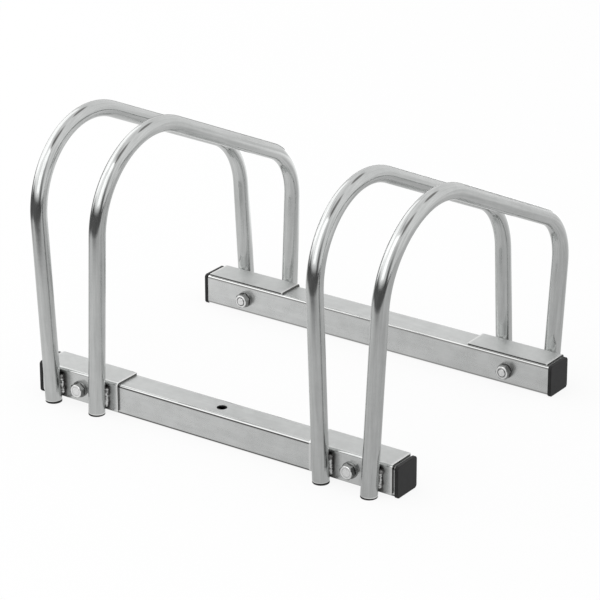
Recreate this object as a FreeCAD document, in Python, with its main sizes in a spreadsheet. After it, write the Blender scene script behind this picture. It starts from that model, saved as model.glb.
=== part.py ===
import FreeCAD, Part
import Sketcher
import math
import os

# Floor stand for two bicycles. Two square steel rails lie on the floor. At each end of the rails
# an angle bracket is bolted to the outer face, and two bent round hoops are welded to the brackets,
# front leg to the front bracket and rear leg to the rear one. A wheel drops between the two hoops
# of a pair. All lengths are millimetres and all angles degrees.
#
# Frame: +X runs to the right along the rails, +Y to the rear, +Z up.
# The origin is on the floor, in the middle of the footprint.

doc = FreeCAD.newDocument("floor_bike_rack")

# ---------------------------------------------------------------------------------------------
# Driving dimensions
# ---------------------------------------------------------------------------------------------

DIMENSIONS = [
    # rails
    ("rail_length", 403.0, "length of a rail without its end caps"),
    ("rail_side", 30.0, "outer side of the square rail tube"),
    ("rail_wall", 1.5, "wall of the rail tube"),
    ("rail_corner", 2.5, "outer corner radius of the rail tube"),
    ("rail_pitch", 265.0, "centre line to centre line of the two rails"),
    ("rail_lift", 0.8, "underside of the rails above the floor"),
    ("anchor_hole", 10.0, "hole down through a rail for a floor anchor"),
    # rail end caps
    ("cap_head", 3.5, "thickness of a cap's head"),
    ("cap_overhang", 0.8, "how far the head stands proud of the rail all round"),
    ("cap_edge", 0.9, "rounding of the head's outer rim"),
    ("cap_insert", 15.0, "how far the insert reaches into the rail"),
    ("cap_insert_wall", 1.6, "wall of the hollow insert"),
    ("cap_fin", 1.4, "height of a fin on the insert"),
    ("cap_fin_thick", 1.0, "thickness of a fin"),
    ("cap_fin_count", 2.0, "fins round the insert"),
    ("cap_fit", 0.1, "gap between the fins and the inside of the rail"),
    # hoops
    ("tube_dia", 16.0, "outside diameter of a hoop's tube"),
    ("tube_wall", 1.2, "wall of a hoop's tube"),
    ("hoop_pitch", 52.0, "centre to centre of the two hoops of a pair, at the floor"),
    ("hoop_mid_height", 238.8, "height of the sloping top's centre line, half-way back"),
    ("top_slope", 25.4, "fall of the top towards the rear"),
    ("front_bend", 83.5, "centre-line radius of the front bend"),
    ("rear_bend", 65.0, "centre-line radius of the rear bend"),
    ("outer_lean", 3.2, "lean of the outer hoop of a pair, away from its mate"),
    ("inner_lean", 2.1, "lean of the inner hoop of a pair, away from its mate"),
    # foot plugs
    ("plug_head", 1.5, "thickness of a foot plug's head, on the tube's axis"),
    ("plug_insert", 12.0, "how far a foot plug reaches into the tube"),
    ("plug_bore", 8.0, "bore of a foot plug's hollow stem"),
    ("plug_taper", 0.5, "how much the stem's radius shrinks to its tip"),
    ("plug_fit", 0.1, "gap between the stem's root and the inside of the tube"),
    # angle brackets
    ("bracket_length", 90.0, "length of a bracket along the rail"),
    ("bracket_sheet", 2.0, "thickness of a bracket"),
    ("bracket_bend", 3.0, "outer radius of a bracket's bend"),
    ("bracket_inset", 2.0, "end of the rail to the end of the bracket"),
    ("bracket_top_short", 0.5, "top flange's edge, short of the rail's far face"),
    ("bracket_side_short", 2.5, "side flange's edge above the rail's underside"),
    ("bracket_corner", 1.8, "rounding of the flanges' free corners"),
    # weld beads
    ("weld_radius", 2.4, "radius of a weld bead"),
    ("weld_proud", 1.2, "bead's centre line in front of the bracket, and outside the leg"),
    ("weld_end", 3.5, "bead's centre line ends this far inside the side flange's edges"),
    # bolts, washers and nuts
    ("bolt_dia", 8.0, "diameter of a bolt"),
    ("bolt_head", 5.3, "height of a bolt's head"),
    ("bolt_show", 3.3, "how far a bolt's tip stands out of its nut"),
    ("bolt_tip", 0.8, "chamfer at a bolt's tip"),
    ("hex_flats", 13.0, "width across the flats of a bolt's head and of a nut"),
    ("nut_height", 6.5, "height of a nut"),
    ("nut_fit", 0.05, "gap between a nut's bore and the bolt, all round"),
    ("washer_dia", 16.0, "outside diameter of a washer"),
    ("washer_fit", 0.2, "gap between a washer's bore and the bolt, all round"),
    ("washer_sheet", 1.6, "thickness of a washer"),
    ("hole_fit", 0.5, "gap between a bolt and its hole in rail and bracket, all round"),
]

sheet = doc.addObject("Spreadsheet::Sheet", "sizes")
for row, (alias, number, meaning) in enumerate(DIMENSIONS, start=1):
    sheet.set("A%d" % row, alias)
    sheet.set("B%d" % row, str(number))
    sheet.set("C%d" % row, meaning)
    sheet.setAlias("B%d" % row, alias)
doc.recompute()


class Size:
    """A number together with the sheet formula that it comes from."""

    def __init__(self, number, formula):
        self.number = float(number)
        self.formula = formula

    @staticmethod
    def of(thing):
        return thing if isinstance(thing, Size) else Size(thing, "%r" % thing)

    def __add__(self, other):
        other = Size.of(other)
        return Size(self.number + other.number, "(%s + %s)" % (self.formula, other.formula))

    def __sub__(self, other):
        other = Size.of(other)
        return Size(self.number - other.number, "(%s - %s)" % (self.formula, other.formula))

    def __mul__(self, other):
        other = Size.of(other)
        return Size(self.number * other.number, "%s * %s" % (self.formula, other.formula))

    def __truediv__(self, other):
        other = Size.of(other)
        return Size(self.number / other.number, "%s / (%s)" % (self.formula, other.formula))

    def __neg__(self):
        return Size(-self.number, "(0 - %s)" % self.formula)


def cell(alias):
    """The cell of the sheet that has this name."""
    return Size(sheet.get(alias), "sizes." + alias)


def sine(angle):
    return Size(math.sin(math.radians(angle.number)), "sin((%s) * 1 deg)" % angle.formula)


def cosine(angle):
    return Size(math.cos(math.radians(angle.number)), "cos((%s) * 1 deg)" % angle.formula)


def root(size):
    return Size(math.sqrt(size.number), "sqrt(%s)" % size.formula)


def tangent(angle):
    return Size(math.tan(math.radians(angle.number)), "tan((%s) * 1 deg)" % angle.formula)


nothing = Size.of(0.0)


# ---------------------------------------------------------------------------------------------
# Sizes that follow from the driving ones
# ---------------------------------------------------------------------------------------------

rail_side = cell("rail_side")
rail_wall = cell("rail_wall")
rail_inner = rail_side - rail_wall * 2
rail_inner_corner = cell("rail_corner") - rail_wall
rail_y = cell("rail_pitch") / 2                     # centre line of a rail
rail_z = cell("rail_lift") + rail_side / 2
rail_top = cell("rail_lift") + rail_side
outer_face = rail_y + rail_side / 2                 # face of a rail that a bracket lies on
inner_face = rail_y - rail_side / 2                 # face of a rail that the nuts sit on

sheet_metal = cell("bracket_sheet")
bracket_face = outer_face + sheet_metal             # face of a bracket that the legs touch
bracket_foot = cell("rail_lift") + cell("bracket_side_short")
bracket_roof = rail_top + sheet_metal
pair_x = (cell("rail_length") - cell("bracket_length")) / 2 - cell("bracket_inset")

tube_radius = cell("tube_dia") / 2
leg_y = bracket_face + tube_radius                  # centre line of a leg
bolt_z = rail_z
bolt_hole = cell("bolt_dia") + cell("hole_fit") * 2

ENDS = [("front", 1), ("rear", -1)]                 # +1 faces the front
SIDES = [("left", -1), ("right", 1)]


# ---------------------------------------------------------------------------------------------
# Helpers for bodies and sketches
# ---------------------------------------------------------------------------------------------

def new_body(label):
    body = doc.addObject("PartDesign::Body", label)
    body.Label = label
    return body


def new_sketch(body, name, plane, offset=None):
    """A sketch on one of the body's own origin planes, raised by offset along its normal."""
    sketch = body.newObject("Sketcher::SketchObject", name)
    plane_object = [f for f in body.Origin.OriginFeatures if f.Role == plane][0]
    sketch.AttachmentSupport = [(plane_object, "")]
    sketch.MapMode = "FlatFace"
    if offset is not None:
        sketch.setExpression("AttachmentOffset.Base.z", offset.formula)
    return sketch


def bind(thing, **formulas):
    """Set properties of an object from sizes."""
    for name, size in formulas.items():
        setattr(thing, name, size.number)
        thing.setExpression(name, size.formula)


def drive(sketch, kind, places, size):
    """Add one dimension to a sketch and bind it to the sheet."""
    index = sketch.addConstraint(Sketcher.Constraint(kind, *places, size.number))
    sketch.setExpression("Constraints[%d]" % index, size.formula)


def drive_point(sketch, place, point):
    drive(sketch, "DistanceX", place, point[0])
    drive(sketch, "DistanceY", place, point[1])


def circle(sketch, centre, diameter):
    """A circle whose centre and diameter are bound to the sheet."""
    middle = FreeCAD.Vector(centre[0].number, centre[1].number, 0)
    index = sketch.addGeometry(
        Part.Circle(middle, FreeCAD.Vector(0, 0, 1), diameter.number / 2), False)
    drive(sketch, "Diameter", [index], diameter)
    drive_point(sketch, [index, 3], centre)


def arc_through(start, end, radius):
    """The arc under a half circle from start to end. A negative radius turns it clockwise."""
    chord = end - start
    half = chord.Length / 2
    height = math.sqrt(radius * radius - half * half)
    left = FreeCAD.Vector(-chord.y, chord.x, 0).normalize()
    side = 1 if radius > 0 else -1
    centre = start + chord * 0.5 + left * (height * side)
    middle = centre - left * (abs(radius) * side)
    return Part.Arc(start, middle, end)


def outline(sketch, points, bends=None, closed=True):
    """Join points, each a pair of sizes, by lines.

    bends names the stretches that are arcs: it maps the number of a stretch's first point to the
    arc's radius, with a minus sign where the arc turns clockwise.
    """
    bends = bends or {}
    spots = [FreeCAD.Vector(x.number, y.number, 0) for x, y in points]
    count = len(points)
    stretches = count if closed else count - 1
    names = []
    for i in range(stretches):
        start, end = spots[i], spots[(i + 1) % count]
        if i in bends:
            shape = arc_through(start, end, bends[i].number)
            # A sketch holds every arc anticlockwise, so a clockwise one starts at its far end.
            first, last = (2, 1) if bends[i].number < 0 else (1, 2)
        else:
            shape = Part.LineSegment(start, end)
            first, last = 1, 2
        names.append((sketch.addGeometry(shape, False), first, last))
    for i in range(stretches - (0 if closed else 1)):
        here, after = names[i], names[(i + 1) % stretches]
        sketch.addConstraint(
            Sketcher.Constraint("Coincident", here[0], here[2], after[0], after[1]))
    for i in range(stretches):
        drive_point(sketch, [names[i][0], names[i][1]], points[i])
        if i in bends:
            radius = bends[i] if bends[i].number > 0 else -bends[i]
            drive(sketch, "Radius", [names[i][0]], radius)
    if not closed:
        drive_point(sketch, [names[-1][0], names[-1][2]], points[-1])


def rounded_square(sketch, side, corner):
    """A square about the sketch's origin with round corners."""
    edge = side / 2
    flat = edge - corner
    corners = [(-flat, -edge), (flat, -edge), (edge, -flat), (edge, flat),
               (flat, edge), (-flat, edge), (-edge, flat), (-edge, -flat)]
    outline(sketch, corners, {1: corner, 3: corner, 5: corner, 7: corner})


def square(sketch, side):
    """A square about the sketch's origin with sharp corners."""
    edge = side / 2
    outline(sketch, [(-edge, -edge), (edge, -edge), (edge, edge), (-edge, edge)])


HEX_HALF_SIDE = Size.of(30.0)                       # from a flat's middle to its corner


def hexagon(sketch, flats):
    """A hexagon about the sketch's origin, with a corner on the sketch's +X axis."""
    edge = flats / 2
    reach = edge / cosine(HEX_HALF_SIDE)
    half_reach = reach / 2
    outline(sketch, [(reach, nothing), (half_reach, edge), (-half_reach, edge),
                     (-reach, nothing), (-half_reach, -edge), (half_reach, -edge)])


def pad(body, sketch, name, length, both_ways=False, reverse=False):
    feature = body.newObject("PartDesign::Pad", name)
    feature.Profile = sketch
    feature.Midplane = both_ways
    feature.Reversed = reverse
    bind(feature, Length=length)
    doc.recompute()
    return feature


def pocket(body, sketch, name):
    """Cut a sketch's outline right through the body, both ways."""
    before = body.Shape.Volume
    feature = body.newObject("PartDesign::Pocket", name)
    feature.Profile = sketch
    feature.Type = "ThroughAll"
    feature.Midplane = True
    doc.recompute()
    if not body.Shape.Volume < before:
        raise RuntimeError("%s cuts nothing" % name)
    return feature


def spin(body, sketch, name, kind="PartDesign::Revolution"):
    """Turn a sketch of the XZ plane a full turn about the body's Z axis, to add or to cut."""
    before = body.Shape.Volume if body.Tip else 0.0
    axis = [f for f in body.Origin.OriginFeatures if f.Role == "Z_Axis"][0]
    feature = body.newObject(kind, name)
    feature.Profile = sketch
    feature.ReferenceAxis = (axis, [""])
    feature.Angle = 360.0
    doc.recompute()
    if abs(body.Shape.Volume - before) < 1e-3:
        raise RuntimeError("%s changes nothing" % name)
    return feature


def place(thing, x=None, y=None, z=None, axis=(0, 0, 1), angle=None):
    """Put an object at a bound place, turned about an axis by a bound angle."""
    turn = FreeCAD.Rotation(FreeCAD.Vector(*axis), angle.number if angle else 0.0)
    spot = FreeCAD.Vector(*[size.number if size else 0.0 for size in (x, y, z)])
    thing.Placement = FreeCAD.Placement(spot, turn)
    for name, size in (("x", x), ("y", y), ("z", z)):
        if size is not None:
            thing.setExpression("Placement.Base." + name, size.formula)
    if angle is not None:
        thing.setExpression("Placement.Rotation.Angle", "(%s) * 1 deg" % angle.formula)


def sign(size, direction):
    return size if direction > 0 else -size


parts = []


def keep(thing):
    """Count an object as one of the stand's pieces."""
    parts.append(thing)
    return thing


# ---------------------------------------------------------------------------------------------
# Rails: square tube with a bolt hole at each end and an anchor hole in the middle
# ---------------------------------------------------------------------------------------------

def rail(label, facing):
    body = new_body(label)
    section = new_sketch(body, label + "_section", "YZ_Plane")
    rounded_square(section, rail_side, cell("rail_corner"))
    rounded_square(section, rail_inner, rail_inner_corner)
    pad(body, section, label + "_tube", cell("rail_length"), both_ways=True)

    bolt_holes = new_sketch(body, label + "_bolt_holes", "XZ_Plane")
    for _, side in SIDES:
        circle(bolt_holes, (sign(pair_x, side), nothing), bolt_hole)
    pocket(body, bolt_holes, label + "_bolt_holes_cut")

    anchor = new_sketch(body, label + "_anchor_hole", "XY_Plane")
    circle(anchor, (nothing, nothing), cell("anchor_hole"))
    pocket(body, anchor, label + "_anchor_hole_cut")
    place(body, y=sign(rail_y, -facing), z=rail_z)
    keep(body)


for end, facing in ENDS:
    rail(end + "_rail", facing)


# ---------------------------------------------------------------------------------------------
# Rail end caps: a head that covers the tube's end and a hollow insert with thin fins, which
# grip the inside of the tube. Modelled with the head towards +X.
# ---------------------------------------------------------------------------------------------

fin_side = rail_inner - cell("cap_fit") * 2
insert_side = fin_side - cell("cap_fin") * 2
insert_hole = insert_side - cell("cap_insert_wall") * 2
fin_corner = rail_inner_corner - cell("cap_fit")
fin_step = (cell("cap_insert") - cell("cap_fin_thick")) / cell("cap_fin_count")


def rail_cap(label, side, facing):
    body = new_body(label)
    insert = new_sketch(body, label + "_insert", "YZ_Plane")
    square(insert, insert_side)
    square(insert, insert_hole)
    pad(body, insert, label + "_insert_wall", cell("cap_insert"), reverse=True)

    head = new_sketch(body, label + "_head", "YZ_Plane")
    rounded_square(head, rail_side + cell("cap_overhang") * 2,
                   cell("rail_corner") + cell("cap_overhang"))
    head_pad = pad(body, head, label + "_head_plate", cell("cap_head"))
    rim = [
        "Edge%d" % number for number, edge in enumerate(head_pad.Shape.Edges, start=1)
        if min(v.Point.x for v in edge.Vertexes) > cell("cap_head").number - 0.01
    ]
    edge = body.newObject("PartDesign::Fillet", label + "_head_rim")
    edge.Base = (head_pad, rim)
    bind(edge, Radius=cell("cap_edge"))
    doc.recompute()

    fin = new_sketch(body, label + "_fin", "YZ_Plane", -fin_step)
    rounded_square(fin, fin_side, fin_corner)
    square(fin, insert_side)
    fin_pad = pad(body, fin, label + "_first_fin", cell("cap_fin_thick"), reverse=True)
    row = body.newObject("PartDesign::LinearPattern", label + "_fins")
    row.Originals = [fin_pad]
    row.Direction = ([f for f in body.Origin.OriginFeatures if f.Role == "X_Axis"][0], [""])
    row.Reversed = True
    row.Occurrences = int(cell("cap_fin_count").number)
    row.setExpression("Occurrences", cell("cap_fin_count").formula)
    bind(row, Length=fin_step * (cell("cap_fin_count") - 1))
    body.Tip = row
    doc.recompute()
    place(body, x=sign(cell("rail_length") / 2, side), y=sign(rail_y, -facing), z=rail_z,
          angle=Size.of(0.0 if side > 0 else 180.0))
    keep(body)


for end, facing in ENDS:
    for hand, side in SIDES:
        rail_cap("rail_cap_%s_%s" % (end, hand), side, facing)


# ---------------------------------------------------------------------------------------------
# Hoops: one round tube each, up from the front foot, round the wide front bend, down the sloping
# top, round the tighter rear bend and down to the rear foot. A hoop is flat, stands in the YZ
# plane of its own body, and leans sideways about the line between its two feet.
# ---------------------------------------------------------------------------------------------

slope = cell("top_slope")
front_radius = cell("front_bend")
rear_radius = cell("rear_bend")
rise = leg_y * tangent(slope)                       # half-way back to a leg, along the slope
front_setback = front_radius * tangent((slope + 90) / 2)
rear_setback = rear_radius * tangent((-slope + 90) / 2)
path_front = cell("hoop_mid_height") + rise         # where the slope would meet a leg's line
path_rear = cell("hoop_mid_height") - rise
HOOP_PATH = [
    (-leg_y, cell("plug_head")),
    (-leg_y, path_front - front_setback),
    (-leg_y + front_setback * cosine(slope), path_front - front_setback * sine(slope)),
    (leg_y - rear_setback * cosine(slope), path_rear + rear_setback * sine(slope)),
    (leg_y, path_rear - rear_setback),
    (leg_y, cell("plug_head")),
]
HOOP_BENDS = {1: -front_radius, 3: -rear_radius}


def hoop(label, x, lean):
    body = new_body(label)
    route = new_sketch(body, label + "_route", "YZ_Plane")
    outline(route, HOOP_PATH, HOOP_BENDS, closed=False)
    ring = new_sketch(body, label + "_ring", "XY_Plane", cell("plug_head"))
    circle(ring, (nothing, -leg_y), cell("tube_dia"))
    circle(ring, (nothing, -leg_y), cell("tube_dia") - cell("tube_wall") * 2)
    doc.recompute()
    tube = body.newObject("PartDesign::AdditivePipe", label + "_tube")
    tube.Profile = ring
    tube.Spine = (route, ["Edge%d" % (n + 1) for n in range(len(HOOP_PATH) - 1)])
    doc.recompute()
    place(body, x=x, axis=(0, 1, 0), angle=lean)
    return keep(body)


# Every foot of the stand: which hoop it belongs to, where it stands and how the hoop leans.
PAIRS = {}
for hand, side in SIDES:
    outer_x = sign(pair_x + cell("hoop_pitch") / 2, side)
    inner_x = sign(pair_x - cell("hoop_pitch") / 2, side)
    PAIRS[hand] = [
        ("outer", outer_x, sign(cell("outer_lean"), side)),
        ("inner", inner_x, sign(cell("inner_lean"), -side)),
    ]

hoops = {}
for hand, pair in PAIRS.items():
    for rank, x, lean in pair:
        name = "hoop_%s_%s" % (hand, rank)
        hoops[hand, rank] = hoop(name, x, lean)


# ---------------------------------------------------------------------------------------------
# Foot plugs: a head as wide as the tube and a hollow tapered stem, turned. A plug leans with its
# leg, and its head is trimmed level with the floor underneath.
# ---------------------------------------------------------------------------------------------

floor_length = cell("rail_length") * 2
floor_width = cell("rail_pitch") * 2
above_floor = doc.addObject("Part::Box", "above_floor")
bind(above_floor, Length=floor_length, Width=floor_width, Height=cell("hoop_mid_height"))
place(above_floor, x=-floor_length / 2, y=-floor_width / 2)

stem_root = tube_radius - cell("tube_wall") - cell("plug_fit")
stem_tip = stem_root - cell("plug_taper")
stem_bore = cell("plug_bore") / 2
stem_base = cell("plug_head")
stem_end = cell("plug_head") + cell("plug_insert")
under = -cell("plug_head")                          # trimmed to the floor
PLUG_PROFILE = [
    (nothing, under),
    (tube_radius, under),
    (tube_radius, stem_base),
    (stem_root, stem_base),
    (stem_tip, stem_end),
    (stem_bore, stem_end),
    (stem_bore, stem_base),
    (nothing, stem_base),
]


def foot_plug(label, x, y, lean):
    body = new_body(label + "_turned")
    section = new_sketch(body, label + "_profile", "XZ_Plane")
    outline(section, PLUG_PROFILE)
    spin(body, section, label + "_spin")
    place(body, x=x, y=y, axis=(0, 1, 0), angle=lean)
    trimmed = doc.addObject("Part::Common", label)
    trimmed.Base = body
    trimmed.Tool = above_floor
    keep(trimmed)


for end, facing in ENDS:
    for hand, pair in PAIRS.items():
        for rank, x, lean in pair:
            foot_plug("foot_plug_%s_%s_%s" % (end, hand, rank), x, sign(leg_y, -facing), lean)


# ---------------------------------------------------------------------------------------------
# Angle brackets: bent sheet over the rail's outer face and top, with one bolt hole. Modelled at
# the front rail and turned half a turn for the rear one.
# ---------------------------------------------------------------------------------------------

bend_out = cell("bracket_bend")
bend_in = bend_out - sheet_metal
top_edge = -(inner_face + cell("bracket_top_short"))


def bracket(label, x, facing):
    body = new_body(label)
    section = new_sketch(body, label + "_section", "YZ_Plane")
    outline(section, [
        (-bracket_face, bracket_foot),
        (-outer_face, bracket_foot),
        (-outer_face, rail_top - bend_in),
        (-outer_face + bend_in, rail_top),
        (top_edge, rail_top),
        (top_edge, bracket_roof),
        (-bracket_face + bend_out, bracket_roof),
        (-bracket_face, bracket_roof - bend_out),
    ], {2: -bend_in, 6: bend_out})
    angle = pad(body, section, label + "_angle", cell("bracket_length"), both_ways=True)

    half = cell("bracket_length").number / 2
    foot, edge = bracket_foot.number, top_edge.number
    free_corners = []
    for number, line in enumerate(angle.Shape.Edges, start=1):
        spots = [vertex.Point for vertex in line.Vertexes]
        at_end = all(abs(abs(p.x) - half) < 0.01 for p in spots)
        same_end = len(spots) == 2 and abs(spots[0].x - spots[1].x) < 0.01
        across_foot = all(abs(p.z - foot) < 0.01 for p in spots)
        across_edge = all(abs(p.y - edge) < 0.01 for p in spots)
        if at_end and same_end and (across_foot or across_edge):
            free_corners.append("Edge%d" % number)
    corner = body.newObject("PartDesign::Fillet", label + "_corners")
    corner.Base = (angle, free_corners)
    bind(corner, Radius=cell("bracket_corner"))
    doc.recompute()

    hole = new_sketch(body, label + "_bolt_hole", "XZ_Plane")
    circle(hole, (nothing, bolt_z), bolt_hole)
    pocket(body, hole, label + "_bolt_hole_cut")
    place(body, x=x, angle=Size.of(0.0 if facing > 0 else 180.0))
    return keep(body)


brackets = {}
for end, facing in ENDS:
    for hand, side in SIDES:
        brackets[end, hand] = bracket("bracket_%s_%s" % (end, hand), sign(pair_x, side), facing)


# ---------------------------------------------------------------------------------------------
# Weld beads: one up each side of a leg, in the narrowing gap between the round tube and the flat
# bracket. Each starts as a round bar along the leg, and what lies in the leg or in the bracket is
# cut away. The four beads on a bracket are one piece of this model.
# ---------------------------------------------------------------------------------------------

# A bead's centre line is as far outside the leg's round as it is in front of the flat bracket.
bead_beside = root(tube_radius * cell("weld_proud")) * 2
bead_foot = bracket_foot + cell("weld_end")
bead_head = bracket_roof - bend_out - cell("weld_end")


def bead(label, x, y, lean):
    bar = doc.addObject("Part::Cylinder", label)
    bind(bar, Radius=cell("weld_radius"), Height=bead_head - bead_foot)
    place(bar, x=x + bead_foot * tangent(lean), y=y, z=bead_foot, axis=(0, 1, 0), angle=lean)
    return bar


def leg_space(label, x, y, lean):
    """The round bar that a leg fills, from the floor to past the bracket's top."""
    bar = doc.addObject("Part::Cylinder", label)
    bind(bar, Radius=tube_radius, Height=bracket_roof + cell("tube_dia"))
    place(bar, x=x, y=y, axis=(0, 1, 0), angle=lean)
    return bar


def welds(label, end, hand, facing):
    rods = []
    metal = [brackets[end, hand]]
    bead_y = sign(bracket_face + cell("weld_proud"), -facing)
    for rank, x, lean in PAIRS[hand]:
        metal.append(leg_space("%s_%s_leg" % (label, rank), x, sign(leg_y, -facing), lean))
        for beside, way in (("left", -1), ("right", 1)):
            bead_x = x + sign(bead_beside, way)
            rods.append(bead("%s_%s_%s" % (label, rank, beside), bead_x, bead_y, lean))
    bars = doc.addObject("Part::Compound", label + "_bars")
    bars.Links = rods
    carriers = doc.addObject("Part::Compound", label + "_carriers")
    carriers.Links = metal
    beads = doc.addObject("Part::Cut", label)
    beads.Base = bars
    beads.Tool = carriers
    keep(beads)


for end, facing in ENDS:
    for hand, side in SIDES:
        welds("weld_beads_%s_%s" % (end, hand), end, hand, facing)


# ---------------------------------------------------------------------------------------------
# Bolts, washers and nuts. Each is modelled upright, seated at its own origin and reaching towards
# +Z away from the seat, and then laid along Y: the heads are on the outer side of the brackets,
# the nuts between the rails.
# ---------------------------------------------------------------------------------------------

CHAMFER = Size.of(30.0)
CLEAR = 1.0                                         # how far a chamfer's tool reaches past a corner
hex_flat = cell("hex_flats") / 2
hex_reach = hex_flat / cosine(HEX_HALF_SIDE)
chamfer_reach = hex_reach + CLEAR
chamfer_drop = (chamfer_reach - hex_flat) * tangent(CHAMFER)


def hex_chamfer(body, label, level):
    """Turn the corners of a hexagon's outer face down to its flats."""
    wedge = new_sketch(body, label + "_chamfer", "XZ_Plane")
    outline(wedge, [(hex_flat, level), (chamfer_reach, level), (chamfer_reach, level - chamfer_drop)])
    spin(body, wedge, label + "_turned", "PartDesign::Groove")


gripped = cell("washer_sheet") * 2 + sheet_metal + rail_side
bolt_length = gripped + cell("nut_height") + cell("bolt_show")


def bolt(label):
    body = new_body(label)
    head = new_sketch(body, label + "_head", "XY_Plane")
    hexagon(head, cell("hex_flats"))
    pad(body, head, label + "_head_pad", cell("bolt_head"))
    hex_chamfer(body, label, cell("bolt_head"))
    radius = cell("bolt_dia") / 2
    shank = new_sketch(body, label + "_shank", "XZ_Plane")
    outline(shank, [
        (nothing, nothing),
        (radius, nothing),
        (radius, cell("bolt_tip") - bolt_length),
        (radius - cell("bolt_tip"), -bolt_length),
        (nothing, -bolt_length),
    ])
    spin(body, shank, label + "_shank_spin")
    return keep(body)


def nut(label):
    body = new_body(label)
    block = new_sketch(body, label + "_block", "XY_Plane")
    hexagon(block, cell("hex_flats"))
    circle(block, (nothing, nothing), cell("bolt_dia") + cell("nut_fit") * 2)
    pad(body, block, label + "_pad", cell("nut_height"))
    hex_chamfer(body, label, cell("nut_height"))
    return keep(body)


def washer(label):
    body = new_body(label)
    ring = new_sketch(body, label + "_ring", "XY_Plane")
    circle(ring, (nothing, nothing), cell("washer_dia"))
    circle(ring, (nothing, nothing), cell("bolt_dia") + cell("washer_fit") * 2)
    pad(body, ring, label + "_pad", cell("washer_sheet"))
    return keep(body)


# Each piece on a bolt, with its seat's distance from the middle of the stand and whether it
# reaches away from the middle.
head_seat = bracket_face + cell("washer_sheet")
nut_seat = inner_face - cell("washer_sheet")
ON_BOLT = [
    ("bolt", bolt, head_seat, True),
    ("bolt_washer", washer, bracket_face, True),
    ("nut_washer", washer, inner_face, False),
    ("nut", nut, nut_seat, False),
]

for end, facing in ENDS:
    for hand, side in SIDES:
        for kind, make, seat, outwards in ON_BOLT:
            piece = make("%s_%s_%s" % (kind, end, hand))
            towards_front = facing > 0 if outwards else facing < 0
            place(piece, x=sign(pair_x, side), y=sign(seat, -facing), z=bolt_z,
                  axis=(1, 0, 0), angle=Size.of(90.0 if towards_front else -90.0))


# ---------------------------------------------------------------------------------------------
# Check the model and write one file for each piece
# ---------------------------------------------------------------------------------------------

doc.recompute()
for thing in doc.Objects:
    if "Invalid" in thing.State or "Error" in thing.State:
        raise RuntimeError("%s failed: %s" % (thing.Label, thing.State))
for piece in parts:
    shape = piece.Shape
    if shape.isNull() or not shape.isValid() or not shape.Solids:
        raise RuntimeError("%s has no valid solid" % piece.Label)

section_area = math.pi * cell("tube_wall").number * (cell("tube_dia") - cell("tube_wall")).number
for piece in hoops.values():
    route = [thing for thing in piece.Group if thing.Name.endswith("_route")][0]
    expected = section_area * route.Shape.Length
    print("%s: tube volume over section times length %.5f" % (
        piece.Label, piece.Shape.Volume / expected))

os.makedirs("parts", exist_ok=True)
for piece in parts:
    piece.Shape.exportStep("parts/%s.step" % piece.Label)
    print("%-32s %d solid(s) %10.1f mm3" % (piece.Label, len(piece.Shape.Solids), piece.Shape.Volume))

box = Part.makeCompound([piece.Shape for piece in parts]).optimalBoundingBox()
print("%d pieces, overall %.1f x %.1f x %.1f mm, lowest point %.3f" % (
    len(parts), box.XLength, box.YLength, box.ZLength, box.ZMin))
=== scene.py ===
# %% [markdown]
# # A floor bike rack in bright zinc
# The stand is a handful of stock steel: two square rails, four bent hoops of round tube, four angle
# brackets with weld beads, and four bolts. Black plastic caps close the tube ends. We load the packed
# part first, because every piece below takes its place from it.

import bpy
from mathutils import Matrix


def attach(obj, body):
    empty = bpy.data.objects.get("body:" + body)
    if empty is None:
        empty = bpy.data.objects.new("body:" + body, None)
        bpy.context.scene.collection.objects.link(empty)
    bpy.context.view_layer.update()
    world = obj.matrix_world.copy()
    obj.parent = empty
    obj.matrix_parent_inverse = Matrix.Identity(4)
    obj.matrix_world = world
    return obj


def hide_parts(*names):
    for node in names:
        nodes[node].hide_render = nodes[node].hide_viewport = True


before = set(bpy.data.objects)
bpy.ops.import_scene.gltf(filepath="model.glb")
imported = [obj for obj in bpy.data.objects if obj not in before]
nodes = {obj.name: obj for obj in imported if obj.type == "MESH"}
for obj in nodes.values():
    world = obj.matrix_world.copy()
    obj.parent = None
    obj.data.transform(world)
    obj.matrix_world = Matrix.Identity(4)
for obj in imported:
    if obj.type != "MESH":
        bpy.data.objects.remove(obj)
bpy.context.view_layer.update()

# %% [markdown]
# Lengths in this lesson are written in millimetres, as on a drawing, and turned into Blender's metres
# where they are used. The numbers below are the ones that the new pieces share with the part.

# %% Sizes shared with the part
import math

import bmesh
import bpy
from mathutils import Matrix, Vector, noise

MM = 0.001
ENDS = {"front": -1, "rear": 1}          # the side of the stand along Y
HANDS = {"left": -1, "right": 1}         # and along X
PAIR_X = 154.5                           # middle of a pair of hoops, and of its bracket
HALF_PITCH = 26.0                        # from there to a hoop
LEG_Y = 157.5                            # centre line of a leg
LEANS = {"outer": 3.2, "inner": -2.1}    # degrees, away from the pair's mate
TUBE = 8.0                               # outer radius of a hoop's tube
BORE = 6.8
FOOT = 1.5                               # a leg stops this far above the floor
RAIL_Y = 132.5                           # centre line of a rail
RAIL_Z = 15.8
RAIL_HALF = 15.0                         # half the side of a rail
RAIL_CORNER = 2.5                        # radius of its long edges
SHEET = 2.0                              # thickness of a bracket
BRACKET_Y = RAIL_Y + RAIL_HALF + SHEET   # face of a bracket that the legs touch
BRACKET_TOP = RAIL_Z + RAIL_HALF + SHEET
BRACKET_BACK = 118.0                     # free edge of its top flange, along Y
BRACKET_FOOT = 3.3                       # free edge of its side flange, above the floor
BRACKET_BEND = 3.0                       # outer radius between the flanges
BRACKET_HALF = 45.0                      # half its length along X


def leg_places():
    """Every hoop's hand and rank, its foot along X and its lean in degrees."""
    for hand, side in HANDS.items():
        for rank, way in (("outer", 1), ("inner", -1)):
            yield hand, rank, side * (PAIR_X + way * HALF_PITCH), side * LEANS[rank]


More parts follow.
